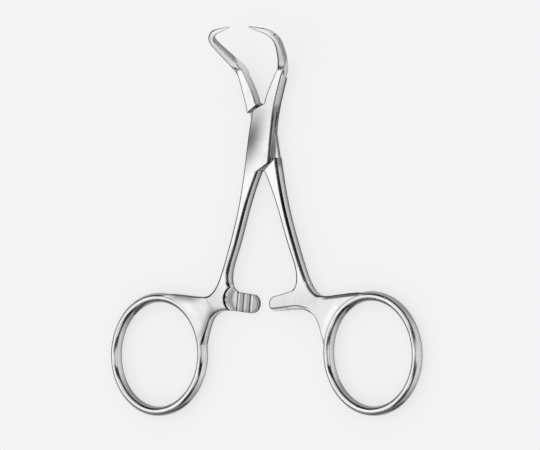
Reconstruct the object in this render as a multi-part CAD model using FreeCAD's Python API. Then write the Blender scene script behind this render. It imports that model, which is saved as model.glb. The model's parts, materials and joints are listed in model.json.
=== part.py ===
import FreeCAD, Part
import math
import os

os.makedirs("parts", exist_ok=True)

V = FreeCAD.Vector

# Sizes in mm. Both halves are drawn closed, pivot at the origin, jaws along +Y, back face at z = 0.
BODY_T = 4.2
BACK_CHEEK_T = 0.8
SLOT_T = 1.2
WAIST_PLAY = 0.06
SHOULDER_PLAY = 0.1
SLOT_END_PLAY = 0.16
PIN_R = 1.1
PIN_PLAY = 0.04
EDGE_R = 0.45
ARM_EDGE_R = 0.85
RING_EDGE_R = 1.05
JAW_BACK_R = 1.5
REACH = 60.0

# Turn of each half from the closed line, as it lies at rest.
FEMALE_TURN = -5.0
MALE_TURN = 6.1

# Lock block: corners of the cheek ends.
CHEEK_TOP_CORNER = (-3.05, 7.15)
JAW_ROOT = (0.45, 9.2)
CHEEK_LOW_CORNER = (3.2, -7.1)
SHANK_ROOT = (-0.35, -9.85)

# Outline runs, each a curve through its points.
JAW_INNER = [JAW_ROOT, (1.42, 13.2), (2.5, 16.1), (4.35, 21.0)]
JAW_OUTER = [(6.6, 21.2), (5.55, 18.0), (4.6, 13.5), (3.75, 8.3), (3.38, 3.0), CHEEK_LOW_CORNER]
SHANK_INNER = [SHANK_ROOT, (-3.05, -19.2), (-5.95, -32.9), (-7.2, -40.0), (-6.5, -42.8), (-4.4, -44.3)]
SHANK_OUTER = [(-9.6, -40.0), (-7.85, -33.0), (-5.3, -19.4), (-4.25, -7.0), (-3.8, 0.5), CHEEK_TOP_CORNER]
WEB_TOP = [(-24.0, -46.5), (-16.5, -46.6), (-13.0, -45.9), (-11.1, -43.8)]
WEB_LOW = [(-6.5, -49.5), (-9.7, -50.2), (-11.8, -51.9), (-12.8, -54.4), (-13.5, -58.0)]
WEB_TOP_ANGLE = 104.0
WEB_LOW_ANGLE = 2.0

# Ratchet arm.
ARM_MID_Y = -47.1
FEMALE_ARM_HALF_W = 2.6
MALE_ARM_HALF_W = 2.1
ARM_TIP_X = 2.0
ARM_ROUND_X = 0.3
TOOTH_FACES_X = (-4.45, -2.4, -0.25)
TOOTH_DEPTH = 0.55
CREST_W = 0.5
CREST_GAP = 0.1
RECESS_CENTRE = (-4.2, -46.1)
RECESS_R = 3.75

# Finger ring, placed by its side next to the shank and by its top.
RING_SIDE_X = -13.0
RING_TOP_Y = -46.6
RING_TILT = 1.0
HOLE_HALF_LONG = 14.7
HOLE_HALF_WIDE = 12.8
LIMB_W = 2.65
RING_CENTRE = (RING_SIDE_X - LIMB_W - HOLE_HALF_WIDE, RING_TOP_Y - LIMB_W - HOLE_HALF_LONG)

# Trough in both faces of the web, running round beside the limb. Its centre is off the ring's, so
# that it keeps beside the quarter of the oval that the web joins.
TROUGH_OFF = (-1.0, 0.9)
TROUGH_FROM_LIMB = 3.9
TROUGH_R = 18.0
TROUGH_DEPTH = 0.5

# Bevel under the edge of the plain arm.
ARM_BEVEL = 0.8

# Curved point: each station is x, y, height of the centre over mid-plane, half width, half thickness.
JAW_END_Y = 19.2
JAW_END_LEAN = 34.0
POINT_ROOT = (4.2, 17.0, 0.1, 1.0, 1.2)
STATIONS = [
    (4.7, 18.6, 0.25, 1.25, 1.5),
    (5.15, 19.9, 1.05, 1.28, 1.38),
    (5.7, 21.2, 2.3, 1.26, 1.26),
    (6.3, 22.6, 3.75, 1.22, 1.16),
    (7.05, 24.7, 6.3, 1.12, 1.07),
    (7.6, 26.7, 8.8, 1.03, 1.0),
    (7.4, 28.3, 10.9, 0.93, 0.9),
    (6.25, 29.35, 12.1, 0.8, 0.8),
    (4.3, 29.95, 12.8, 0.62, 0.62),
    (2.1, 30.3, 13.1, 0.4, 0.4),
    (0.12, 30.6, 13.2, 0.1, 0.1),
]
POINT_PITCH = 48.0


def pt(xy, z=0.0):
    return V(xy[0], xy[1], z)


def curve(points):
    spline = Part.BSplineCurve()
    spline.interpolate([pt(p) for p in points])
    return spline.toShape()


def line(a, b):
    return Part.makeLine(pt(a), pt(b))


def prism(edges, z0, z1):
    face = Part.Face(Part.Wire(edges))
    face.translate(V(0, 0, z0))
    return face.extrude(V(0, 0, z1 - z0))


def ellipse(centre, half_axis, other_half_axis):
    longer, shorter = sorted((half_axis, other_half_axis), key=lambda axis: -axis.Length)
    return Part.Ellipse(centre + longer, centre + shorter, centre).toShape()


def limb_line(z):
    # Middle line of the ring's limb.
    tilt = math.radians(RING_TILT)
    along = V(math.sin(tilt), -math.cos(tilt), 0) * (HOLE_HALF_LONG + LIMB_W / 2.0)
    across = V(-math.cos(tilt), -math.sin(tilt), 0) * (HOLE_HALF_WIDE + LIMB_W / 2.0)
    return ellipse(pt(RING_CENTRE, z), along, across)


def limb_middle(angle):
    # Point on that line.
    tilt = math.radians(RING_TILT)
    turn = math.radians(angle)
    x = (HOLE_HALF_WIDE + LIMB_W / 2.0) * math.cos(turn)
    y = (HOLE_HALF_LONG + LIMB_W / 2.0) * math.sin(turn)
    across = x * math.cos(tilt) - y * math.sin(tilt)
    along = x * math.sin(tilt) + y * math.cos(tilt)
    return (RING_CENTRE[0] + across, RING_CENTRE[1] + along)


def beyond_line(a, b, shift, z0, z1, reach=REACH):
    # Block on the far side from the pivot of the line a-b, moved outward by shift.
    along = pt(b) - pt(a)
    along.normalize()
    out = V(along.y, -along.x, 0)
    if out.dot(pt(a)) < 0:
        out = out * -1.0
    foot = out * (out.dot(pt(a)) + shift)
    corners = [foot - along * reach, foot + along * reach]
    corners += [foot + along * reach + out * reach, foot - along * reach + out * reach]
    corners = [V(c.x, c.y, z0) for c in corners]
    face = Part.Face(Part.makePolygon(corners + [corners[0]]))
    return face.extrude(V(0, 0, z1 - z0))


def mirrored(xy):
    return (-xy[0], xy[1])


def blank_outline(arm_half_w):
    tip_top = (ARM_ROUND_X, ARM_MID_Y + arm_half_w)
    tip_low = (ARM_ROUND_X, ARM_MID_Y - arm_half_w)
    tip_arc = Part.Arc(pt(tip_top), V(ARM_TIP_X, ARM_MID_Y, 0), pt(tip_low)).toShape()
    web_low = WEB_LOW + [limb_middle(WEB_LOW_ANGLE)]
    web_top = [limb_middle(WEB_TOP_ANGLE)] + WEB_TOP
    return [
        line(CHEEK_TOP_CORNER, JAW_ROOT),
        curve(JAW_INNER),
        line(JAW_INNER[-1], JAW_OUTER[0]),
        curve(JAW_OUTER),
        line(CHEEK_LOW_CORNER, SHANK_ROOT),
        curve(SHANK_INNER),
        line(SHANK_INNER[-1], tip_top),
        tip_arc,
        line(tip_low, WEB_LOW[0]),
        curve(web_low),
        line(web_low[-1], web_top[0]),
        curve(web_top + SHANK_OUTER),
    ]


def lies_at(point, xy, z):
    return point.distanceToPoint(pt(xy, z)) < 1e-4


def run_edges(body, start, end, z):
    # Edges of one flat face that run from start to end.
    found = []
    for edge in body.Edges:
        if len(edge.Vertexes) != 2:
            continue
        ends = [v.Point for v in edge.Vertexes]
        for a, b in (ends, ends[::-1]):
            if lies_at(a, start, z) and lies_at(b, end, z):
                found.append(edge)
    return found


def grown_fillet(body, start, end, z, start_r, end_r):
    # Rounds the edges of one run, with a radius that changes from start to end.
    for edge in run_edges(body, start, end, z):
        radii = [start_r, end_r]
        if lies_at(edge.valueAt(edge.LastParameter), start, z):
            radii.reverse()
        body = body.makeFillet(radii[0], radii[1], [edge])
    return body


def rounded_edges(body):
    # The ratchet arm and the cheek ends stay crisp. Inside the jaw the back edge is rounded most.
    jaw = (JAW_INNER[0], JAW_INNER[-1])
    body = body.makeFillet(JAW_BACK_R, run_edges(body, jaw[0], jaw[1], 0.0))
    edges = run_edges(body, jaw[0], jaw[1], BODY_T)
    for z in (0.0, BODY_T):
        edges += run_edges(body, JAW_OUTER[0], JAW_OUTER[-1], z)
    body = body.makeFillet(EDGE_R, edges)
    for z in (0.0, BODY_T):
        body = grown_fillet(body, SHANK_INNER[0], SHANK_INNER[-1], z, EDGE_R, ARM_EDGE_R)
        body = grown_fillet(body, WEB_LOW[0], limb_middle(WEB_LOW_ANGLE), z, ARM_EDGE_R, RING_EDGE_R)
        body = grown_fillet(body, SHANK_OUTER[-1], limb_middle(WEB_TOP_ANGLE), z, EDGE_R, RING_EDGE_R)
    return body


def trough(face_z, side):
    # Ring-shaped cutter that dips into the face at face_z, coming from side.
    beside = (HOLE_HALF_WIDE + HOLE_HALF_LONG + LIMB_W) / 2.0 + TROUGH_FROM_LIMB
    centre = pt(RING_CENTRE, face_z + side * (TROUGH_R - TROUGH_DEPTH)) + pt(TROUGH_OFF)
    return Part.makeTorus(beside, TROUGH_R, centre)


def flat_half(arm_half_w):
    body = prism(blank_outline(arm_half_w), 0.0, BODY_T)
    body = rounded_edges(body)
    body = body.cut(jaw_end())
    body = body.cut(prism([limb_line(0.0)], -1.0, BODY_T + 1.0))
    for face_z, side in ((BODY_T, 1.0), (0.0, -1.0)):
        body = body.cut(trough(face_z, side))
    return body


def jaw_end():
    # The flat of the jaw stops at a face that leans back under the bend.
    block = Part.makeBox(REACH, REACH, REACH, V(-REACH / 2.0, 0.0, -REACH / 2.0))
    block.rotate(V(0, 0, 0), V(1, 0, 0), -JAW_END_LEAN)
    block.translate(V(0, JAW_END_Y, BODY_T))
    return block


def finger_ring():
    # Limb of elliptical section, swept round the hole.
    path = Part.Wire(limb_line(BODY_T / 2.0))
    start = path.Edges[0].valueAt(path.Edges[0].FirstParameter)
    outward = start - pt(RING_CENTRE, BODY_T / 2.0)
    outward.normalize()
    limb = Part.Wire(ellipse(start, V(0, 0, BODY_T / 2.0), outward * (LIMB_W / 2.0)))
    return path.makePipeShell([limb], True, True)


def section(centre, ahead, half_w, half_t, corner):
    # Rounded rectangle square to the way ahead, broad side facing the viewer.
    up = V(0, -math.sin(math.radians(POINT_PITCH)), math.cos(math.radians(POINT_PITCH)))
    side = ahead.cross(up)
    side.normalize()
    up = side.cross(ahead)
    up.normalize()
    rw = half_w * corner
    rt = half_t * corner
    half = math.sqrt(0.5)
    edges = []
    for sx, sy in ((1, 1), (-1, 1), (-1, -1), (1, -1)):
        inner = centre + side * (sx * (half_w - rw)) + up * (sy * (half_t - rt))
        first = side * (sx * rw) if sx * sy > 0 else up * (sy * rt)
        last = up * (sy * rt) if sx * sy > 0 else side * (sx * rw)
        middle = side * (sx * rw * half) + up * (sy * rt * half)
        edges.append((inner + first, inner + middle, inner + last))
    wire = []
    for i in range(4):
        a, b, c = edges[i]
        wire.append(Part.Arc(a, b, c).toShape())
        wire.append(Part.makeLine(c, edges[(i + 1) % 4][0]))
    return Part.Wire(wire)


def curved_point():
    mid = BODY_T / 2.0
    stations = [POINT_ROOT] + STATIONS
    centres = [V(x, y, mid + z) for x, y, z, w, t in stations]
    wires = []
    for i, (x, y, z, half_w, half_t) in enumerate(stations):
        before = centres[max(i - 1, 0)]
        after = centres[min(i + 1, len(centres) - 1)]
        ahead = after - before
        ahead.normalize()
        corner = 0.45 + 0.4 * i / (len(stations) - 1.0)
        wires.append(section(centres[i], ahead, half_w, half_t, corner))
    return Part.makeLoft(wires, True, False)


def blank_half(arm_half_w):
    half = flat_half(arm_half_w).fuse([finger_ring(), curved_point()])
    return half.removeSplitter()


def arm_step(crest_z):
    # Takes the arm down to its lower layer, with a round end in the shank.
    x, y = RECESS_CENTRE
    round_end = Part.makeCylinder(RECESS_R, BODY_T, V(x, y, crest_z))
    arm = Part.makeBox(REACH, 2.0 * RECESS_R, BODY_T, V(x, y - RECESS_R, crest_z))
    return round_end.fuse(arm)


def tooth_gaps(crest_z):
    # Sawtooth gaps along the arm, steep faces looking back to the shank.
    low = crest_z - TOOTH_DEPTH
    x, y = RECESS_CENTRE
    floor = Part.makeCylinder(RECESS_R, BODY_T, V(x, y, low))
    keep = Part.makeBox(REACH, REACH, BODY_T, V(TOOTH_FACES_X[0], y - REACH / 2.0, low))
    gaps = [floor.cut(keep)]
    stops = list(TOOTH_FACES_X[1:]) + [ARM_TIP_X + CREST_W]
    wide = 2.0 * RECESS_R
    for start, stop in zip(TOOTH_FACES_X, stops):
        corners = [(start + CREST_W, crest_z), (stop, low), (stop, BODY_T), (start + CREST_W, BODY_T)]
        outline = [V(cx, ARM_MID_Y - RECESS_R, cz) for cx, cz in corners]
        gap = Part.Face(Part.makePolygon(outline + [outline[0]]))
        gaps.append(gap.extrude(V(0, wide, 0)))
    return gaps


def arm_bevel():
    # Slanting cut along the front lower edge of the plain arm.
    low_y = ARM_MID_Y - MALE_ARM_HALF_W
    top = BODY_T + ARM_BEVEL
    corners = [(low_y + ARM_BEVEL, BODY_T), (low_y - ARM_BEVEL, BODY_T - 2.0 * ARM_BEVEL)]
    corners.append((low_y - ARM_BEVEL, top))
    corners.append((low_y + ARM_BEVEL, top))
    start_x = SHANK_INNER[-1][0] + ARM_BEVEL
    outline = [V(start_x, cy, cz) for cy, cz in corners]
    return Part.Face(Part.makePolygon(outline + [outline[0]])).extrude(V(REACH, 0, 0))


def upside_down(shape):
    mid = BODY_T / 2.0
    return shape.mirror(V(0, 0, mid), V(0, 0, 1))


def female_half():
    crest_z = (BODY_T - CREST_GAP) / 2.0
    half = blank_half(FEMALE_ARM_HALF_W)
    half = half.cut([arm_step(crest_z)] + tooth_gaps(crest_z))
    z0 = BACK_CHEEK_T
    z1 = BACK_CHEEK_T + SLOT_T
    slot = Part.makeBox(REACH, REACH, z1 - z0, V(-REACH / 2.0, -REACH / 2.0, z0))
    ends = [
        beyond_line(mirrored(CHEEK_TOP_CORNER), mirrored(JAW_ROOT), SLOT_END_PLAY, z0 - 1, z1 + 1),
        beyond_line(mirrored(CHEEK_LOW_CORNER), mirrored(SHANK_ROOT), SLOT_END_PLAY, z0 - 1, z1 + 1),
    ]
    half = half.cut(slot.cut(ends))
    return half.cut(Part.makeCylinder(PIN_R, BODY_T + 2.0, V(0, 0, -1.0)))


def male_half():
    crest_z = (BODY_T - CREST_GAP) / 2.0
    half = blank_half(MALE_ARM_HALF_W)
    cutters = [arm_step(crest_z)] + tooth_gaps(crest_z)
    half = half.cut([upside_down(c) for c in cutters] + [arm_bevel()])
    half = half.mirror(V(0, 0, 0), V(1, 0, 0))
    half = half.cut(Part.makeCylinder(PIN_R + PIN_PLAY, BODY_T + 2.0, V(0, 0, -1.0)))
    for z0, z1 in ((-1.0, BACK_CHEEK_T + WAIST_PLAY), (BACK_CHEEK_T + SLOT_T - WAIST_PLAY, BODY_T + 1.0)):
        strip = Part.makeBox(REACH, REACH, z1 - z0, V(-REACH / 2.0, -REACH / 2.0, z0))
        upper = beyond_line(CHEEK_TOP_CORNER, JAW_ROOT, SHOULDER_PLAY, z0 - 1, z1 + 1)
        lower = beyond_line(CHEEK_LOW_CORNER, SHANK_ROOT, SHOULDER_PLAY, z0 - 1, z1 + 1)
        half = half.cut(strip.cut([upper, lower]))
    return half


def lock_pin():
    return Part.makeCylinder(PIN_R, BODY_T)


def solid_of(shape):
    solids = sorted(shape.Solids, key=lambda s: -s.Volume)
    return solids[0]


def main():
    nodes = {
        "female_half": (female_half(), FEMALE_TURN),
        "male_half": (male_half(), MALE_TURN),
        "lock_pin": (lock_pin(), 0.0),
    }
    for name, (shape, turn) in nodes.items():
        shape = solid_of(shape)
        shape.rotate(V(0, 0, 0), V(0, 0, 1), turn)
        shape.exportStep("parts/" + name + ".step")


main()
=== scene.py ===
import json
import math

import bmesh
import bpy
from mathutils import Matrix, Vector

bl_info = {
    "name": "Towel clamp",
    "version": (1, 0, 0),
    "blender": (4, 5, 0),
    "location": "3D View > Sidebar > Towel clamp",
    "description": "Polishes a packed towel clamp and lays it on a pale studio floor",
    "category": "Object",
}

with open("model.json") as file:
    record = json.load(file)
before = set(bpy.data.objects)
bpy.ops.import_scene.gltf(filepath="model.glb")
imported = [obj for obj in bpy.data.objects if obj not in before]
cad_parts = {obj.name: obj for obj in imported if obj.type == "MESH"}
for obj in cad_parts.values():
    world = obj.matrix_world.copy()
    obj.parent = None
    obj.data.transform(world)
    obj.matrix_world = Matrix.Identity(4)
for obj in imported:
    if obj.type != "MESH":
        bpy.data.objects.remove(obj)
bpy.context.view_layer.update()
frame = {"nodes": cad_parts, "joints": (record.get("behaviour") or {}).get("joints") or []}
MM = 0.001

# The belt leaves the side walls crowned: height over the back in millimetres, and how much a wall leans
# inwards there for each millimetre up.
WALL_FOOT = ((0.0, -0.8), (1.5, 0.0))
WALL_SHOULDER = ((1.8, 0.0), (2.9, 0.1), (3.2, 0.84), (3.75, 0.84), (4.05, 0.0))
RECESS_HOLLOW = ((1.5, 2.6), (2.95, 2.0), (3.1, 0.3), (4.2, 0.3))

# In the pairs that follow, a finish begins to change at the first number and the change is complete at
# the second. These are slopes: 1 faces straight up, or to the drawing's front, and 0 is an upright wall.
FLAT = (0.8, 0.95)
NEARLY_FLAT = (0.6, 0.9)
NOT_STEEP = (0.5, 0.7)
MILLED_SLOPE = (0.1, 0.3)
STREAK_SLOPE = (0.05, 0.2)
WEB_EDGE_SLOPE = (0.0, 0.2)
WALL_FRONT_SLOPE = (0.75, 0.95)
WALL_BACK_SLOPE = (-0.95, -0.6)
ROUNDED_FRONT_SLOPE = (0.85, 0.97)
ROUNDED_BACK_SLOPE = (-0.1, 0.1)
POINT_FRONT_SLOPE = (0.3, 0.55)
POINT_SIDE_SLOPE = (0.2, 0.4)

# How far a surface faces right, for FACES_LEFT, or towards the points, for the walls of a ring.
FACES_LEFT = (-0.35, -0.1)
RING_END_WALLS = (0.25, 0.65)
RING_PATCH_START = (-0.9, -0.86)
RING_PATCH_END = (-0.74, -0.68)

# Heights in millimetres over the back. RECESS_RIM is over the back as drawn.
BACK_EDGE = (0.2, 2.2)
FRONT_EDGE = (3.1, 3.5)
FRONT_EDGE_END = (3.95, 4.1)
RECESS_RIM = (2.9, 3.3)
POINT_START = (4.3, 6.0)

# Millimetres up the drawing from the pivot, negative below it.
BOX_END = (8.0, 10.0)
JAW_START = (5.0, 9.0)
WEB_START = (-47.0, -40.0)

# Millimetres from a line of the drawing, which ClampDrawing gives.
ARM_SIDE_BAND = (5.0, 5.2)
ARM_END_BAND = (-0.5, 0.0)
CREST_BAND = (-0.06, -0.02)
TOOTH_FOOT_BAND = (-0.1, -0.05)
TOOTH_FACE_BAND = (0.0, 0.05)
RECESS_START_BAND = (-0.6, -0.4)
RECESS_EDGE_BAND = (-0.25, -0.1)
PIN_BAND = (0.0, 0.4)
RING_BAND = (0.0, 2.0)

# Web of the box half, in millimetres on the drawing: painted shade under its top edge and inside its low
# edge, and a painted dark line on the low edge itself. The low edge is a straight line through LOW_EDGE,
# which moves right by LOW_EDGE_SLOPE for each millimetre up. LOW_SHADE and STREAK count to the left from
# it.
TOP_SHADE = (-49.4, -46.4)
TOP_SHADE_LEFT = (-27.5, -23.0)
TOP_SHADE_RIGHT = (-19.0, -14.0)
LOW_EDGE = (-11.3, -51.5)
LOW_EDGE_SLOPE = 0.318
LOW_SHADE = (0.0, 3.2)
LOW_SHADE_FOOT = (-60.0, -56.0)
LOW_SHADE_TOP = (-51.5, -48.0)
STREAK = (0.35, 0.8)
STREAK_FOOT = (-60.5, -58.5)
STREAK_TOP = (-54.0, -52.0)

# Tongue half, in millimetres on the drawing: the painted dark line along the low bevel of its arm, which
# drops by ARM_LINE_DROP towards the web, and the painted dark line along the top edge of its web.
# ARM_LINE_BEND counts to the left from the closed line.
ARM_LINE_Y = -48.25
ARM_LINE_BEND = (6.0, 11.0)
ARM_LINE_DROP = 1.1
ARM_LINE_EDGE = (0.12, 0.3)
ARM_LINE_START = (-11.0, -9.0)
WEB_EDGE_FOOT = (-47.75, -47.35)
WEB_EDGE_TOP = (-46.0, -45.0)
WEB_EDGE_LEFT = (-28.5, -26.0)
WEB_EDGE_RIGHT = (-16.5, -14.0)

# How strongly a finish or a painted shade covers what lies under it: RECESS_BRIGHT and RECESS_SMOOTH are
# finish, the rest set painted shade and painted dark lines.
RECESS_BRIGHT = 0.5
RECESS_SMOOTH = 0.6
ARM_LINE_SHADE = 0.9
RING_END_SHADE = 0.6
RING_PATCH_DARK = 0.9
WEB_EDGE_DARK = 0.9
WEB_FRONT_SHADE = 0.2
LOCK_WALL_SHADE = 0.6
ROUNDED_EDGE_SHADE = 0.85
POINT_SIDE_SHADE = 0.7

# Teeth with painted shade in the corner at their foot, and the share of its width over which that shade is
# full.
TEETH = 3
CORNER_FULL = 0.4

# Buffing clouds come in over this range of their noise, and a cloud is as long as this many slow waves.
CLOUD_RANGE = (0.35, 0.7)
WAVES_PER_CLOUD = 0.6

# Nearest and farthest that the camera sees, as shares of its distance.
CLIP_START = 0.1
CLIP_END = 20.0

# Dark cards round the clamp, in degrees: turn from the camera's side to both edges, then the rise of
# foot and top as the clamp sees them.
CARD_STEP = 5.0
CARDS = {
    "camera side": (-14.0, 14.0, 32.0, 46.0),
    "right of the camera, towards the points": (14.0, 36.0, 0.0, 80.0),
    "right of the camera, towards the rings": (-36.0, -14.0, 0.0, 80.0),
    "ring side, near": (-85.0, -54.0, 0.0, 48.0),
    "ring side, between": (-54.0, -36.0, 0.0, 28.0),
    "ring side, far": (-135.0, -85.0, 12.0, 28.0),
    "point side, near": (36.0, 100.0, 0.0, 30.0),
    "point side, far": (100.0, 135.0, 0.0, 45.0),
    "left": (135.0, 225.0, 0.0, 28.0),
}


def length(name, description, default):
    """A size in metres, shown in the scene's units."""
    return bpy.props.FloatProperty(
        name=name, description=description, default=default, min=0.0,
        subtype="DISTANCE", unit="LENGTH", precision=5,
    )


def share(name, description, default, high=1.0):
    """A plain number from nothing to high."""
    return bpy.props.FloatProperty(name=name, description=description, default=default, min=0.0, max=high)


def angle(name, description, degrees):
    return bpy.props.FloatProperty(
        name=name, description=description, default=math.radians(degrees), subtype="ANGLE", unit="ROTATION"
    )


def colour(name, description, default):
    return bpy.props.FloatVectorProperty(
        name=name, description=description, default=default, min=0.0, max=1.0, size=3, subtype="COLOR"
    )


class ClampSteel(bpy.types.PropertyGroup):
    """Finish of the polished steel, and the colours of its painted shade"""

    bright: colour("Bright steel", "Colour of the buffed steel", (0.83, 0.83, 0.835))
    darker: colour("Dull steel", "Colour where the buff has cut less", (0.73, 0.73, 0.74))
    milled: colour("Milled steel", "Colour of the milled floors between the teeth", (0.58, 0.58, 0.585))
    # Painted shade: near black, for the corners at the teeth's feet, the recess rim, the dark lines on the
    # webs and the dark patches on the ring walls.
    painted_shade: colour("Dark corner", "Colour of corners that no buff reaches", (0.04, 0.04, 0.045))
    buffed_roughness: share("Buffed roughness", "Roughness of the mirror-like faces", 0.13)
    cloud_roughness: share("Cloud roughness", "What the buffing clouds add to the roughness", 0.1)
    line_roughness: share("Line roughness", "How much the polishing lines change the roughness", 0.06)
    milled_roughness: share("Milled roughness", "Roughness of the milled floors", 0.42)
    point_roughness: share("Point roughness", "What the grinding adds to the roughness of the points", 0.1)
    cloud_size: length("Cloud size", "Distance from one buffing cloud to the next", 9.0 * MM)
    line_spacing: length("Line spacing", "Distance between polishing lines", 0.09 * MM)
    line_length: length("Line length", "Length of one polishing line", 4.0 * MM)
    line_depth: length("Line depth", "Depth of the polishing lines", 0.0016 * MM)
    wave_depth: length("Wave depth", "Height of the slow waves that hand buffing leaves", 0.05 * MM)
    edge_radius: length("Edge radius", "Radius of the edges that are only deburred", 0.7 * MM)
    pin_edge_radius: length("Pin edge radius", "Radius of the edges round the ground pin end", 0.05 * MM)
    # Painted shade: the dark colour at the feet of the side walls, in the line under their front edge, on
    # the arm's low bevel, on the ring's end walls, on the lock's walls, on edges that face left and on the
    # sides of the points.
    painted_edge_shade: colour("Dull edge", "Colour of side walls that the buff only brushes", (0.1, 0.1, 0.105))
    # Painted shade on the webs.
    painted_web_shade: colour("Soft polish", "Colour of the softly polished web", (0.2, 0.2, 0.205))
    # Painted shade: a darker spot on the lock face and the pin end.
    painted_lock_shade: colour("Dull spot", "Colour where the buff missed the lock face", (0.16, 0.16, 0.165))


class ClampDrawing(bpy.types.PropertyGroup):
    """Places on one half, drawn closed with the pivot at the origin"""

    female_turn: angle("Turn of the box half", "Turn from the closed line, as it lies at rest", -5.0)
    male_turn: angle("Turn of the tongue half", "Turn from the closed line, as it lies at rest", 6.1)
    thickness: length("Thickness", "Thickness of the flat body", 4.2 * MM)
    shank_lean: angle("Lean of the shank", "Angle between the shank and the closed line", 12.0)
    ring_x: length("Ring centre across", "From the closed line to the middle of the ring", 28.4 * MM)
    ring_y: length("Ring centre below", "From the pivot down to the middle of the ring", 63.9 * MM)
    ring_outer: length("Ring outer radius", "Largest radius over the limb of the ring", 17.4 * MM)
    ring_across: length("Ring outer half width", "Smallest radius over the limb of the ring", 15.5 * MM)
    arm_y: length("Ratchet below", "From the pivot down to the middle of the ratchet arm", 47.1 * MM)
    arm_reach: length("Ratchet reach", "From the shank to the arm's tip", 10.0 * MM)
    tooth_first: length("First tooth", "From the closed line back to the first tooth face", 4.45 * MM)
    tooth_pitch: length("Tooth pitch", "From one tooth face to the next", 2.1 * MM)
    crest_z: length("Crest height", "Height of the tooth crests over the arm's plain face", 2.05 * MM)
    # The dark corner at a tooth's foot is painted shade.
    corner_width: length("Corner width", "Width of the dark corner at the foot of a tooth", 0.75 * MM)
    tooth_depth: length("Tooth depth", "How far the foot of a tooth lies under its crest", 0.55 * MM)
    recess_x: length("Recess across", "From the closed line to the middle of the round recess", 4.2 * MM)
    recess_y: length("Recess below", "From the pivot down to the middle of the recess", 46.1 * MM)
    recess_radius: length("Recess radius", "Radius of the recess", 3.75 * MM)
    # The dull spot is painted shade on the lock face; these place it.
    spot_x: length("Dull spot across", "From the closed line to the middle of the dull spot", 3.2 * MM)
    spot_y: length("Dull spot below", "From the pivot down to the middle of the dull spot", 1.0 * MM)
    spot_wide: length("Dull spot width", "From the middle of the dull spot to its right edge", 6.3 * MM)
    spot_slant: share("Dull spot slant", "How far the dull spot leans to the right for each unit up", 0.22)
    spot_high: length("Dull spot height", "From the middle of the dull spot to its upper edge", 13.0 * MM)
    pin_zone: length("Pin zone", "Radius of the face that is ground with the pin", 2.2 * MM)


class ClampStudio(bpy.types.PropertyGroup):
    """Floor, light and camera"""

    floor: colour("Floor", "Colour of the floor", (0.92, 0.92, 0.92))
    floor_size: length("Floor size", "Width of the square floor", 8.0)
    floor_glow: share("Floor glow", "Share of the floor's look that is even, without shadow", 0.75)
    mirrored_glow: share("Mirrored glow", "The same share as the steel mirrors it", 0.05)
    sky: share("Sky strength", "Strength of the even light all round", 0.85, 4.0)
    box_radius: length("Softbox radius", "Radius of the round softbox overhead", 0.85)
    box_shift: length("Softbox shift", "How far the softbox hangs to the left of the clamp", 0.75)
    box_height: length("Softbox height", "Height of the softbox over the floor", 1.3)
    box_glow: share("Softbox glow", "Brightness that the softbox adds to the sky behind it", 0.3, 4.0)
    card_distance: length("Card distance", "Distance from the clamp to the dark cards", 1.6)
    card: colour("Card", "Colour of the dark cards", (0.02, 0.02, 0.02))
    turn: angle("Camera turn", "How far the camera stands to the right of straight above", 30.0)
    drop: angle("Camera drop", "How far the camera stands towards the rings", 0.0)
    lens: bpy.props.FloatProperty(
        name="Lens", description="Focal length in millimetres", default=667.0, min=20.0,
    )
    picture_width: length("Picture width", "What the picture takes in from side to side", 151.2 * MM)
    aim_x: length("Aim across", "From the pivot to the middle of the picture, to the right", 1.82 * MM)
    aim_y: length("Aim down", "From the pivot to the middle of the picture, downwards", 24.8 * MM)


class Wire:
    """One socket of a material. Arithmetic on it adds Math nodes."""

    def __init__(self, nodes, socket):
        self.nodes = nodes
        self.socket = socket

    def maths(self, operation, first, second):
        return self.nodes.node("ShaderNodeMath", {"operation": operation}, {0: first, 1: second})

    def __add__(self, other):
        return self.maths("ADD", self, other)

    def __radd__(self, other):
        return self.maths("ADD", other, self)

    def __sub__(self, other):
        return self.maths("SUBTRACT", self, other)

    def __rsub__(self, other):
        return self.maths("SUBTRACT", other, self)

    def __mul__(self, other):
        return self.maths("MULTIPLY", self, other)

    def __rmul__(self, other):
        return self.maths("MULTIPLY", other, self)

    def __truediv__(self, other):
        return self.maths("DIVIDE", self, other)

    def __rtruediv__(self, other):
        return self.maths("DIVIDE", other, self)

    def __abs__(self):
        return self.maths("ABSOLUTE", self, 0.0)


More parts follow.
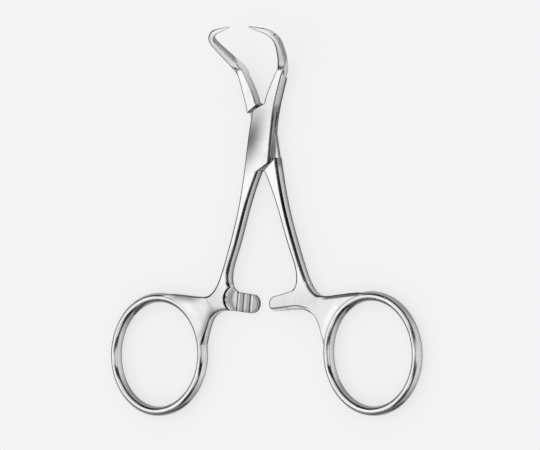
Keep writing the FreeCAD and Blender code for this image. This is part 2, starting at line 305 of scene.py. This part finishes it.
class Nodes:
    """The node tree of one material or of the world."""

    def __init__(self, tree):
        self.tree = tree
        tree.nodes.clear()

    def node(self, kind, settings, sockets, output=0):
        """Adds a node, sets it up, feeds its sockets and gives back one of its outputs."""
        made = self.tree.nodes.new(kind)
        for name, value in settings.items():
            setattr(made, name, value)
        for key, value in sockets.items():
            if isinstance(value, Wire):
                self.tree.links.new(value.socket, made.inputs[key])
            else:
                made.inputs[key].default_value = value
        return Wire(self, made.outputs[output]) if made.outputs else None

    def mix(self, factor, first, second):
        """Colour between first and second."""
        return self.node("ShaderNodeMix", {"data_type": "RGBA"}, {0: factor, 6: first, 7: second}, 2)

    def rise(self, value, low, high):
        """Share that is 0 below low and 1 above high, smooth between."""
        sockets = {"Value": value, "From Min": low, "From Max": high}
        return self.node("ShaderNodeMapRange", {"interpolation_type": "SMOOTHSTEP"}, sockets)

    def fall(self, value, low, high):
        """Share that is 1 below low and 0 above high, smooth between."""
        return 1.0 - self.rise(value, low, high)

    def most(self, first, second):
        """The larger of two values."""
        return first.maths("MAXIMUM", first, second)

    def blend(self, factor, first, second):
        """Vector between first and second."""
        return self.node("ShaderNodeMix", {"data_type": "VECTOR"}, {0: factor, 4: first, 5: second}, 1)

    def split(self, vector):
        """The three parts of a vector."""
        parts = self.node("ShaderNodeSeparateXYZ", {}, {0: vector})
        outputs = parts.socket.node.outputs
        return [Wire(self, outputs[i]) for i in range(3)]

    def join(self, x, y, z):
        return self.node("ShaderNodeCombineXYZ", {}, {0: x, 1: y, 2: z})

    def reach(self, x, y):
        """Distance in the plane from the origin."""
        flat = self.join(x, y, 0.0)
        return self.node("ShaderNodeVectorMath", {"operation": "LENGTH"}, {0: flat}, "Value")

    def noise(self, vector, scale, detail=2.0, roughness=0.5):
        sockets = {"Vector": vector, "Scale": scale, "Detail": detail, "Roughness": roughness}
        return self.node("ShaderNodeTexNoise", {}, sockets)


def rgba(values):
    return (values[0], values[1], values[2], 1.0)


def new_material(name):
    material = bpy.data.materials.new(name)
    material.use_nodes = True
    return material, Nodes(material.node_tree)


def about(line, band):
    """The two ends of a band that is given from its line."""
    return line + band[0], line + band[1]


def drawing_place(nodes, turn, mirror):
    """Position on a half as it is drawn: turned back to the closed line, in millimetres."""
    place = nodes.node("ShaderNodeTexCoord", {}, {}, "Object")
    sockets = {"Vector": place, "Angle": -turn}
    x, y, z = nodes.split(nodes.node("ShaderNodeVectorRotate", {"rotation_type": "Z_AXIS"}, sockets))
    return x * (mirror / MM), y * (1.0 / MM), z * (1.0 / MM)


def crowned(nodes, z, profile, normal):
    """Bumps the side walls by a crown, where z is the height over the back in millimetres."""
    crown = z * -profile[0][1]
    last_bend = 0.0
    for (low, start), (high, end) in zip(profile, profile[1:]):
        bend = (end - start) / (high - low)
        over = nodes.most(z - low, 0.0)
        crown = crown - over * over * ((bend - last_bend) / 2.0)
        last_bend = bend
    over = nodes.most(z - high, 0.0)
    crown = crown + over * over * (last_bend / 2.0)
    return bumped(nodes, crown, MM, normal)


def bumped(nodes, height, distance, normal=None):
    """Normal of the surface under a relief, which is distance high where height is 1."""
    sockets = {"Strength": 1.0, "Distance": distance, "Height": height}
    if normal:
        sockets["Normal"] = normal
    return nodes.node("ShaderNodeBump", {}, sockets)


def metal(nodes, tone, rough, normal):
    """Ends a material as bare metal."""
    sockets = {"Base Color": tone, "Metallic": 1.0, "Roughness": rough, "Normal": normal}
    shader = nodes.node("ShaderNodeBsdfPrincipled", {}, sockets)
    nodes.node("ShaderNodeOutputMaterial", {}, {"Surface": shader})


class HalfSurface:
    """Sockets that say where on a half its surface lies, in millimetres on the drawing, and in which of
    the half's regions. The tongue half is drawn as the box half is, mirrored and lying on its front."""

    def __init__(self, nodes, scene, turn, mirror):
        self.nodes = nodes
        self.plan = scene.clamp_drawing
        self.steel = scene.clamp_steel
        self.x, self.y, self.height = drawing_place(nodes, turn, mirror)
        self.z = self.height if mirror > 0.0 else self.plan.thickness / MM - self.height
        self.facing = nodes.split(nodes.node("ShaderNodeNewGeometry", {}, {}, "Normal"))[2] * mirror
        self.upward = self.facing * mirror
        self.to_right, self.to_points, _ = nodes.split(nodes.node("ShaderNodeTexCoord", {}, {}, "Normal"))
        self.side = nodes.fall(self.upward, *WALL_FRONT_SLOPE) * nodes.rise(self.upward, *WALL_BACK_SLOPE)
        self.points = nodes.rise(self.height, *POINT_START)
        self.find_ring()
        self.find_arm()
        self.find_recess()
        # Ring, arm and jaws have no shoulder under their front edge.
        self.plain = nodes.most(nodes.most(self.on_ring, self.near_arm), nodes.rise(self.y, *JAW_START))

    def find_ring(self):
        plan = self.plan
        from_ring_x = self.x + plan.ring_x / MM
        from_ring_y = self.y + plan.ring_y / MM
        squeezed_y = from_ring_y * (plan.ring_across / plan.ring_outer)
        self.ring_radius = self.nodes.reach(from_ring_x, squeezed_y)
        self.ring_turn = from_ring_y.maths("ARCTAN2", from_ring_y, from_ring_x)
        self.on_ring = self.nodes.fall(self.ring_radius, *about(plan.ring_across / MM, RING_BAND))

    def find_arm(self):
        nodes = self.nodes
        plan = self.plan
        near_end = nodes.rise(self.x, *about(-plan.arm_reach / MM, ARM_END_BAND))
        self.near_arm = near_end * nodes.fall(abs(self.y + plan.arm_y / MM), *ARM_SIDE_BAND)
        self.below_crest = nodes.fall(self.z, *about(plan.crest_z / MM, CREST_BAND))
        self.milled = self.near_arm * self.below_crest * nodes.rise(self.facing, *MILLED_SLOPE)

    def find_recess(self):
        nodes = self.nodes
        plan = self.plan
        before_teeth = nodes.fall(self.x, *about(-plan.tooth_first / MM, RECESS_START_BAND))
        self.recess = self.near_arm * before_teeth
        radius = nodes.reach(self.x + plan.recess_x / MM, self.y + plan.recess_y / MM)
        outside = nodes.rise(radius, *about(plan.recess_radius / MM, RECESS_EDGE_BAND))
        self.recess_wall = self.recess * outside * nodes.fall(self.facing, *NOT_STEEP)


def painted_lock_shade(nodes, plan, x, y, facing):
    """Share of the painted shade, a darker spot, beside the middle of the lock face."""
    above = y + plan.spot_y / MM
    beside = (x + plan.spot_x / MM - above * plan.spot_slant) / (plan.spot_wide / MM)
    above = above / (plan.spot_high / MM)
    return nodes.fall(nodes.reach(beside, above), 0.0, 1.0) * nodes.rise(facing, *FLAT)


def polishing_lines(at):
    """Fine lines along the shank, and round the ring."""
    nodes = at.nodes
    lean = math.sin(at.plan.shank_lean)
    upright = math.cos(at.plan.shank_lean)
    along = at.y * upright + at.x * lean
    across = at.x * upright - at.y * lean
    fine = MM / at.steel.line_spacing
    shank = nodes.join(across * fine, along * (MM / at.steel.line_length), at.z * fine)
    shank_lines = nodes.noise(shank, 1.0, detail=3.0)
    round_ring = at.ring_turn * (at.plan.ring_outer / at.steel.line_length)
    ring = nodes.join(at.ring_radius * fine, round_ring, at.z * fine)
    ring_lines = nodes.noise(ring, 1.0, detail=3.0)
    sockets = {0: at.on_ring, 2: shank_lines, 3: ring_lines}
    return nodes.node("ShaderNodeMix", {"data_type": "FLOAT"}, sockets)


def tooth_corners(at):
    """Share of the painted shade in the corner at the foot of each tooth."""
    nodes = at.nodes
    wide = at.plan.corner_width / MM
    painted_shade = 0.0
    for number in range(TEETH):
        face = (number * at.plan.tooth_pitch - at.plan.tooth_first) / MM
        before_face = nodes.rise(at.x, face - wide, face - wide * CORNER_FULL)
        painted_shade = painted_shade + before_face * nodes.fall(at.x, *about(face, TOOTH_FACE_BAND))
    foot = (at.plan.crest_z - at.plan.tooth_depth) / MM
    return painted_shade * at.near_arm * at.below_crest * nodes.rise(at.z, *about(foot, TOOTH_FOOT_BAND))


def box_half_tone(at, tone):
    """Painted shade under the web's top edge and inside its low edge, a painted dark line on that low
    edge, and the painted shade on the lock face.
    """
    nodes = at.nodes
    # Painted shade under the web's top edge and inside its low edge.
    under_top = nodes.rise(at.y, *TOP_SHADE) * nodes.rise(at.x, *TOP_SHADE_LEFT)
    under_top = under_top * nodes.fall(at.x, *TOP_SHADE_RIGHT)
    inside = LOW_EDGE[0] + (at.y - LOW_EDGE[1]) * LOW_EDGE_SLOPE - at.x
    by_low_edge = nodes.fall(inside, *LOW_SHADE) * nodes.rise(at.y, *LOW_SHADE_FOOT)
    by_low_edge = by_low_edge * nodes.fall(at.y, *LOW_SHADE_TOP)
    web_shade = nodes.most(under_top, by_low_edge) * nodes.rise(at.facing, *NEARLY_FLAT)
    # Painted dark line on the web's low edge.
    streak = nodes.fall(inside, *STREAK) * nodes.rise(at.y, *STREAK_FOOT) * nodes.fall(at.y, *STREAK_TOP)
    streak = streak * nodes.rise(at.facing, *STREAK_SLOPE)
    tone = nodes.mix(web_shade, tone, rgba(at.steel.painted_web_shade))
    tone = nodes.mix(streak, tone, rgba(at.steel.painted_shade))
    # Painted shade on the lock face.
    spot = painted_lock_shade(nodes, at.plan, at.x, at.y, at.facing)
    return nodes.mix(spot, tone, rgba(at.steel.painted_lock_shade))


def arm_line(at):
    """Share of the painted dark line along the low bevel of the tongue half's arm."""
    nodes = at.nodes
    drop = nodes.rise(at.x * -1.0, *ARM_LINE_BEND) * ARM_LINE_DROP
    on_line = nodes.fall(abs(at.y - ARM_LINE_Y + drop), *ARM_LINE_EDGE)
    return on_line * nodes.rise(at.x, *ARM_LINE_START) * nodes.rise(at.upward, *FLAT)


def web_edge(at):
    """Share of the painted dark line along the top edge of the tongue half's web."""
    nodes = at.nodes
    edge = nodes.rise(at.y, *WEB_EDGE_FOOT) * nodes.fall(at.y, *WEB_EDGE_TOP)
    edge = edge * nodes.rise(at.x, *WEB_EDGE_LEFT) * nodes.fall(at.x, *WEB_EDGE_RIGHT)
    return edge * nodes.rise(at.upward, *WEB_EDGE_SLOPE)


def cut_tone(at, clouds, box_half):
    """Bright where the buff has cut, greyer on milled floors, with painted shade in the tooth corners and
    a painted dark line along the recess rim.
    """
    nodes = at.nodes
    steel = at.steel
    tone = nodes.mix(clouds, rgba(steel.bright), rgba(steel.darker))
    tone = nodes.mix(at.milled, tone, rgba(steel.milled))
    tone = nodes.mix(at.milled * at.recess * RECESS_BRIGHT, tone, rgba(steel.bright))
    # Painted dark line along the top of the recess wall.
    tone = nodes.mix(at.recess_wall * nodes.rise(at.z, *RECESS_RIM), tone, rgba(steel.painted_shade))
    if box_half:
        tone = box_half_tone(at, tone)
    # Painted shade in the corners at the feet of the teeth.
    return nodes.mix(tooth_corners(at), tone, rgba(steel.painted_shade))


def wall_tone(at, tone, box_half):
    """Painted shade along the back edge, under the front edge, on the arm's low bevel and on parts of the
    ring's walls.
    """
    nodes = at.nodes
    # Painted shade, in this colour: darker at the foot of each side wall and in a line under its front
    # edge.
    darker = rgba(at.steel.painted_edge_shade)
    by_back = nodes.fall(at.height, *BACK_EDGE)
    by_front = nodes.rise(at.height, *FRONT_EDGE) * nodes.fall(at.height, *FRONT_EDGE_END)
    by_edge = nodes.most(by_back, by_front * (1.0 - at.plain))
    tone = nodes.mix(at.side * by_edge, tone, darker)
    if not box_half:
        # Painted dark line along the arm's low bevel.
        tone = nodes.mix(arm_line(at) * ARM_LINE_SHADE, tone, darker)
    # Painted shade on the ring's end walls, and painted dark patches on its walls that face partly away
    # from the points.
    ring_wall = at.on_ring * at.side
    ends = nodes.rise(abs(at.to_points), *RING_END_WALLS)
    tone = nodes.mix(ring_wall * ends * RING_END_SHADE, tone, darker)
    patch = nodes.rise(at.to_points, *RING_PATCH_START) * nodes.fall(at.to_points, *RING_PATCH_END)
    return nodes.mix(ring_wall * patch * RING_PATCH_DARK, tone, rgba(at.steel.painted_shade))


def painted_shade_tone(at, tone, box_half):
    """Painted shade on the web, on the lock's walls, on edges that face left and beside the points, and on
    the tongue half a painted dark line along the top of its web.
    """
    nodes = at.nodes
    # Colour of the painted shade below.
    darker = rgba(at.steel.painted_edge_shade)
    off_ring = 1.0 - at.on_ring
    if not box_half:
        # Painted dark line along the top edge of the tongue half's web.
        tone = nodes.mix(web_edge(at) * WEB_EDGE_DARK, tone, rgba(at.steel.painted_shade))
    # Painted shade on the front of the web.
    web_front = nodes.fall(at.y, *WEB_START) * off_ring * nodes.rise(at.upward, *NEARLY_FLAT)
    web_front = web_front * (1.0 - at.milled)
    tone = nodes.mix(web_front * WEB_FRONT_SHADE, tone, rgba(at.steel.painted_web_shade))
    # Painted shade on the lock's walls.
    lock_wall = at.side * nodes.fall(abs(at.y), *BOX_END)
    tone = nodes.mix(lock_wall * LOCK_WALL_SHADE, tone, darker)
    # Painted shade on rounded edges that face left.
    rounded = nodes.fall(at.to_right, *FACES_LEFT) * nodes.fall(at.upward, *ROUNDED_FRONT_SLOPE)
    rounded = rounded * nodes.rise(at.upward, *ROUNDED_BACK_SLOPE) * off_ring
    tone = nodes.mix(rounded * ROUNDED_EDGE_SHADE, tone, darker)
    # Painted shade on the sides of the points.
    point_side = at.points * nodes.fall(at.upward, *POINT_SIDE_SLOPE)
    return nodes.mix(point_side * POINT_SIDE_SHADE, tone, darker)


def half_normal(at, waves, lines):
    """Rounded edges, crowned walls, buffing waves and polishing lines."""
    nodes = at.nodes
    steel = at.steel
    wide_edge = nodes.node("ShaderNodeBevel", {"samples": 8}, {"Radius": steel.edge_radius})
    pin_edge = nodes.node("ShaderNodeBevel", {"samples": 4}, {"Radius": steel.pin_edge_radius})
    off_pin = nodes.rise(nodes.reach(at.x, at.y), *about(at.plan.pin_zone / MM, PIN_BAND))
    edge = nodes.blend(off_pin, pin_edge, wide_edge)
    foot = crowned(nodes, at.height, WALL_FOOT, edge)
    shoulder = crowned(nodes, at.height, WALL_SHOULDER, foot)
    hollow = crowned(nodes, at.height, RECESS_HOLLOW, edge)
    wall = nodes.blend(at.recess_wall, nodes.blend(at.plain, shoulder, foot), hollow)

    # The fronts of the points are ground broad, so they face up more than the solid does.
    ground = nodes.join(0.0, 0.0, at.points * nodes.rise(at.upward, *POINT_FRONT_SLOPE))
    wall = nodes.node("ShaderNodeVectorMath", {"operation": "ADD"}, {0: wall, 1: ground})
    wall = nodes.node("ShaderNodeVectorMath", {"operation": "NORMALIZE"}, {0: wall})
    waved = bumped(nodes, waves, steel.wave_depth, wall)
    return bumped(nodes, lines, steel.line_depth, waved)


def steel_half(name, scene, turn, mirror):
    """Buffed steel with polishing lines along the shank and round the ring, and milled tooth floors."""
    material, nodes = new_material(name)
    at = HalfSurface(nodes, scene, turn, mirror)
    steel = at.steel
    spot = nodes.join(at.x, at.y, at.z)
    clouds = nodes.rise(nodes.noise(spot, MM / steel.cloud_size, detail=3.0, roughness=0.6), *CLOUD_RANGE)
    waves = nodes.noise(spot, WAVES_PER_CLOUD * MM / steel.cloud_size, detail=0.0)
    lines = polishing_lines(at)

    box_half = mirror > 0.0
    tone = cut_tone(at, clouds, box_half)
    tone = wall_tone(at, tone, box_half)
    tone = painted_shade_tone(at, tone, box_half)

    rough = steel.buffed_roughness + clouds * steel.cloud_roughness + (lines - 0.5) * steel.line_roughness
    milled = at.milled * (1.0 - at.recess * RECESS_SMOOTH)
    rough = rough + milled * (steel.milled_roughness - steel.buffed_roughness)
    rough = rough + at.points * steel.point_roughness
    metal(nodes, tone, rough, half_normal(at, waves, lines))
    return material


def pin_steel(name, scene):
    """Pin end ground flush, with fine turned rings."""
    steel = scene.clamp_steel
    material, nodes = new_material(name)
    place = nodes.node("ShaderNodeTexCoord", {}, {}, "Object")
    x, y, z = nodes.split(place)
    facing = nodes.split(nodes.node("ShaderNodeNewGeometry", {}, {}, "Normal"))[2]
    turned = nodes.join(nodes.reach(x, y) / steel.line_spacing, 0.0, z / steel.line_length)
    rings = nodes.noise(turned, 1.0, detail=3.0)
    clouds = nodes.rise(nodes.noise(place, 1.0 / steel.cloud_size, detail=3.0), *CLOUD_RANGE)
    tone = nodes.mix(clouds, rgba(steel.bright), rgba(steel.darker))
    # Painted shade: the lock face's darker spot, carried on over the pin end.
    spot = painted_lock_shade(nodes, scene.clamp_drawing, x * (1.0 / MM), y * (1.0 / MM), facing)
    tone = nodes.mix(spot, tone, rgba(steel.painted_lock_shade))
    rough = steel.buffed_roughness + clouds * steel.cloud_roughness + (rings - 0.5) * steel.line_roughness
    metal(nodes, tone, rough, bumped(nodes, rings, steel.line_depth))
    return material


def assign(node, material):
    for place in frame["nodes"][node].material_slots:
        place.material = material


def mesh_object(name, mesh, material):
    data = bpy.data.meshes.new(name)
    mesh.to_mesh(data)
    mesh.free()
    data.materials.append(material)
    piece = bpy.data.objects.new(name, data)
    bpy.context.scene.collection.objects.link(piece)
    return piece


def lay_floor(studio):
    material, nodes = new_material("floor_pale")
    rays = nodes.node("ShaderNodeLightPath", {}, {})
    outputs = rays.socket.node.outputs
    seen = Wire(nodes, outputs["Is Camera Ray"]) * studio.floor_glow
    for other in ("Is Glossy Ray", "Is Transmission Ray"):
        seen = nodes.most(seen, Wire(nodes, outputs[other]) * studio.mirrored_glow)
    matt = nodes.node("ShaderNodeBsdfDiffuse", {}, {"Color": rgba(studio.floor)})
    even = nodes.node("ShaderNodeEmission", {}, {"Color": rgba(studio.floor), "Strength": 1.0})
    both = nodes.node("ShaderNodeMixShader", {}, {0: seen, 1: matt, 2: even})
    nodes.node("ShaderNodeOutputMaterial", {}, {"Surface": both})
    mesh = bmesh.new()
    bmesh.ops.create_grid(mesh, x_segments=1, y_segments=1, size=studio.floor_size / 2.0)
    return mesh_object("floor", mesh, material)


def stand_cards(studio):
    """Dark cards round the clamp, which only reflections show. They draw the dark line along each edge."""
    material, nodes = new_material("card_dark")
    matt = nodes.node("ShaderNodeBsdfDiffuse", {}, {"Color": rgba(studio.card)})
    nodes.node("ShaderNodeOutputMaterial", {}, {"Surface": matt})
    mesh = bmesh.new()
    for start, end, foot, top in CARDS.values():
        steps = max(1, round((end - start) / CARD_STEP))
        for number in range(steps):
            turns = [math.radians(start + (end - start) * k / steps) for k in (number, number + 1)]
            corners = []
            for turn, rise in ((turns[0], foot), (turns[1], foot), (turns[1], top), (turns[0], top)):
                flat = math.cos(math.radians(rise))
                spot = Vector((math.cos(turn) * flat, math.sin(turn) * flat, math.sin(math.radians(rise))))
                corners.append(mesh.verts.new(spot * studio.card_distance))
            mesh.faces.new(corners)
    cards = mesh_object("cards", mesh, material)
    cards.visible_camera = False
    cards.visible_diffuse = False
    return cards


def hang_lights(scene, studio):
    world = bpy.data.worlds.new("even_sky")
    world.use_nodes = True
    scene.world = world
    nodes = Nodes(world.node_tree)
    sky = nodes.node("ShaderNodeBackground", {}, {"Color": (1.0, 1.0, 1.0, 1.0), "Strength": studio.sky})
    nodes.node("ShaderNodeOutputWorld", {}, {"Surface": sky})
    lamp = bpy.data.lights.new("softbox", "AREA")
    lamp.shape = "DISK"
    lamp.size = 2.0 * studio.box_radius
    area = math.pi * studio.box_radius ** 2
    lamp.energy = studio.box_glow * math.pi * area
    softbox = bpy.data.objects.new("softbox", lamp)
    softbox.location = (-studio.box_shift, 0.0, studio.box_height)
    softbox.visible_camera = False
    scene.collection.objects.link(softbox)


def place_camera(scene, studio):
    data = bpy.data.cameras.new("camera")
    data.lens = studio.lens
    data.sensor_fit = "HORIZONTAL"
    camera = bpy.data.objects.new("camera", data)
    scene.collection.objects.link(camera)
    scene.camera = camera
    back = Vector((math.sin(studio.turn) * math.cos(studio.drop), -math.sin(studio.drop),
                   math.cos(studio.turn) * math.cos(studio.drop)))
    up = Vector((0.0, 1.0, 0.0))
    right = up.cross(back).normalized()
    up = back.cross(right)
    pivot = Vector(frame["joints"][0]["pos_m"])
    aim = pivot + right * studio.aim_x - up * studio.aim_y
    distance = studio.picture_width * studio.lens / data.sensor_width
    turned = Matrix((right, up, back)).transposed().to_4x4()
    camera.matrix_world = Matrix.Translation(aim + back * distance) @ turned
    data.clip_start = CLIP_START * distance
    data.clip_end = CLIP_END * distance


class CLAMP_OT_halves(bpy.types.Operator):
    """Gives both halves their buffed steel"""

    bl_idname = "clamp.halves"
    bl_label = "Polish the halves"

    def execute(self, context):
        plan = context.scene.clamp_drawing
        assign("female_half", steel_half("polished_steel_box", context.scene, plan.female_turn, 1.0))
        assign("male_half", steel_half("polished_steel_tongue", context.scene, plan.male_turn, -1.0))
        return {"FINISHED"}


class CLAMP_OT_pin(bpy.types.Operator):
    """Gives the lock pin its flush ground ends"""

    bl_idname = "clamp.pin"
    bl_label = "Grind the pin"

    def execute(self, context):
        assign("lock_pin", pin_steel("pin_steel_ground", context.scene))
        return {"FINISHED"}


class CLAMP_OT_stage(bpy.types.Operator):
    """Sets the floor, the cards, the light and the camera"""

    bl_idname = "clamp.stage"
    bl_label = "Set the stage"

    def execute(self, context):
        studio = context.scene.clamp_studio
        lay_floor(studio)
        stand_cards(studio)
        hang_lights(context.scene, studio)
        place_camera(context.scene, studio)
        context.scene.view_settings.view_transform = "Standard"
        return {"FINISHED"}


class CLAMP_PT_sidebar(bpy.types.Panel):
    """Lists what makes up the clamp"""

    bl_idname = "CLAMP_PT_sidebar"
    bl_label = "Towel clamp"
    bl_space_type = "VIEW_3D"
    bl_region_type = "UI"
    bl_category = "Towel clamp"

    def draw(self, context):
        for operator in OPERATORS:
            self.layout.operator(operator.bl_idname)
        for group in GROUPS:
            settings = getattr(context.scene, group)
            column = self.layout.column()
            for name in settings.__annotations__:
                column.prop(settings, name)


GROUPS = {"clamp_steel": ClampSteel, "clamp_drawing": ClampDrawing, "clamp_studio": ClampStudio}
OPERATORS = (CLAMP_OT_halves, CLAMP_OT_pin, CLAMP_OT_stage)


def register():
    for group in GROUPS.values():
        bpy.utils.register_class(group)
    for name, group in GROUPS.items():
        setattr(bpy.types.Scene, name, bpy.props.PointerProperty(type=group))
    for operator in OPERATORS:
        bpy.utils.register_class(operator)
    bpy.utils.register_class(CLAMP_PT_sidebar)


def unregister():
    bpy.utils.unregister_class(CLAMP_PT_sidebar)
    for operator in reversed(OPERATORS):
        bpy.utils.unregister_class(operator)
    for name in GROUPS:
        delattr(bpy.types.Scene, name)
    for group in reversed(GROUPS.values()):
        bpy.utils.unregister_class(group)


def main():
    register()
    bpy.ops.clamp.halves()
    bpy.ops.clamp.pin()
    bpy.ops.clamp.stage()


if __name__ == "__main__":
    main()
